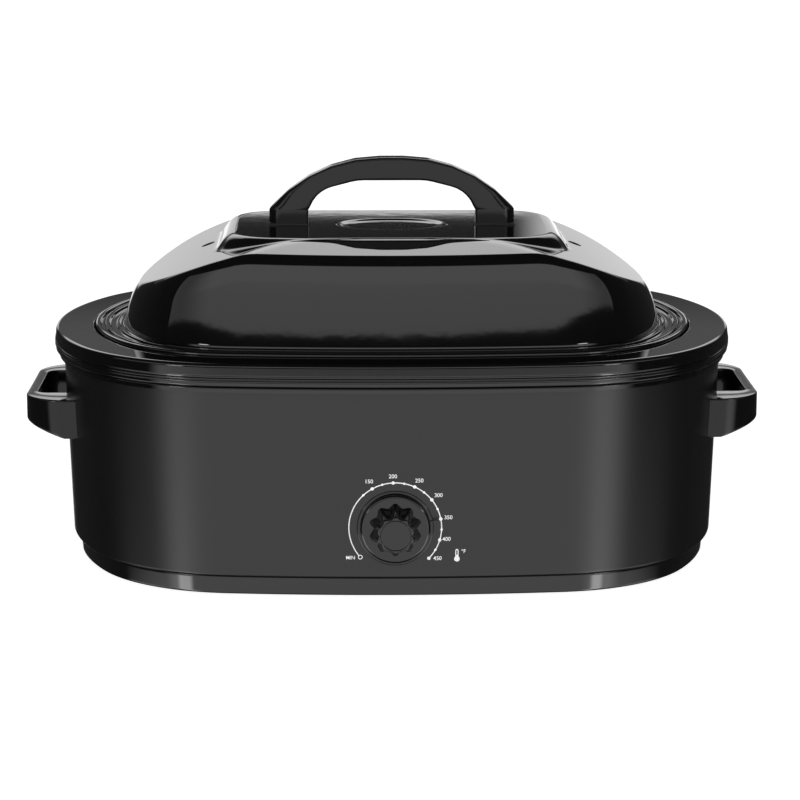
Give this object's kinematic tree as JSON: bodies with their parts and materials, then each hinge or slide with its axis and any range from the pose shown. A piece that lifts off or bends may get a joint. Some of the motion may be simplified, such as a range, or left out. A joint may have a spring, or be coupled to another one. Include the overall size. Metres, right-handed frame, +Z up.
{
  "type": "electric roaster oven",
  "caption": "Oval electric roaster oven with a domed lift-off lid under a bridge handle, a flanged enamel pan in a heated body, a temperature dial and two side handles.",
  "frame": {"origin": "middle of the plane that the four feet stand on, under the middle of the oval body", "axes": "+X to the right along the length, +Y to the rear, +Z up; the dial faces -Y"},
  "size_m": [0.59, 0.4282, 0.3188],
  "materials": {
    "body_paint": "satin black paint",
    "base_paint": "satin dark grey paint",
    "pan_enamel": "glossy black enamel on steel",
    "lid_enamel": "glossy black enamel on steel",
    "well_steel": "aluminised steel, dull",
    "zinc_steel": "zinc plated",
    "rack_chrome": "bright plated wire",
    "handle_plastic": "black moulded, satin",
    "knob_plastic": "black moulded, gloss",
    "cap_plastic": "black insert, satin gloss",
    "foot_rubber": "moulded rubber",
    "band_mica": "steel clad mica",
    "brass": "plain",
    "glass_wool": "glass wool",
    "shield_aluminium": "plain sheet",
    "case_ceramic": "unglazed",
    "wire_sleeve": "heat proof sleeve"
  },
  "bodies": {
    "base": {"body_shell": "body_paint", "base_ring": "base_paint", "bottom_plate": "well_steel", "rubber_feet": "foot_rubber", "base_screws": "zinc_steel", "base_nuts": "zinc_steel", "heating_well": "well_steel", "heating_bands": "band_mica", "band_clamps": "well_steel", "band_terminals": "brass", "insulation_blanket": "glass_wool", "insulation_pad": "glass_wool", "heat_shield": "shield_aluminium", "well_standoffs": "zinc_steel", "standoff_screws": "zinc_steel", "side_handle_right": "handle_plastic", "side_handle_left": "handle_plastic", "handle_wedges": "well_steel", "side_handle_screws": "zinc_steel", "dial_bezel": "knob_plastic", "thermostat_bracket": "well_steel", "thermostat_body": "case_ceramic", "thermostat_screws": "zinc_steel", "sensor_bulb": "well_steel", "bulb_clips": "well_steel", "capillary_tube": "brass", "terminal_block": "case_ceramic", "supply_wires": "wire_sleeve", "heater_wires": "wire_sleeve", "thermal_fuse": "case_ceramic", "fuse_clip": "well_steel", "earth_screw": "zinc_steel", "cord_inlet": "handle_plastic"},
    "knob": {"control_knob": "knob_plastic", "knob_cap": "cap_plastic", "knob_spring_clip": "well_steel", "thermostat_shaft": "well_steel"},
    "pan": {"cooking_pan": "pan_enamel"},
    "rack": {"roasting_rack": "rack_chrome"},
    "lid": {"lid_shell": "lid_enamel", "lid_handle": "handle_plastic", "lid_handle_gaskets": "foot_rubber", "lid_handle_washers": "zinc_steel", "lid_handle_screws": "zinc_steel"}
  },
  "joints": [
    {"name": "pan_lift", "type": "slide", "parent": "base", "child": "pan", "axis": [0, 0, 1], "range_m": [0, 0.15]},
    {"name": "rack_lift", "type": "slide", "parent": "pan", "child": "rack", "axis": [0, 0, 1], "range_m": [0, 0.138]},
    {"name": "lid_lift", "type": "slide", "parent": "pan", "child": "lid", "axis": [0, 0, 1], "range_m": [0, 0.15]},
    {"name": "knob_turn", "type": "hinge", "parent": "base", "child": "knob", "pos_m": [0, -0.19548, 0.057], "axis": [0, -1, 0], "range_deg": [-54.4, 210.3]}
  ]
}
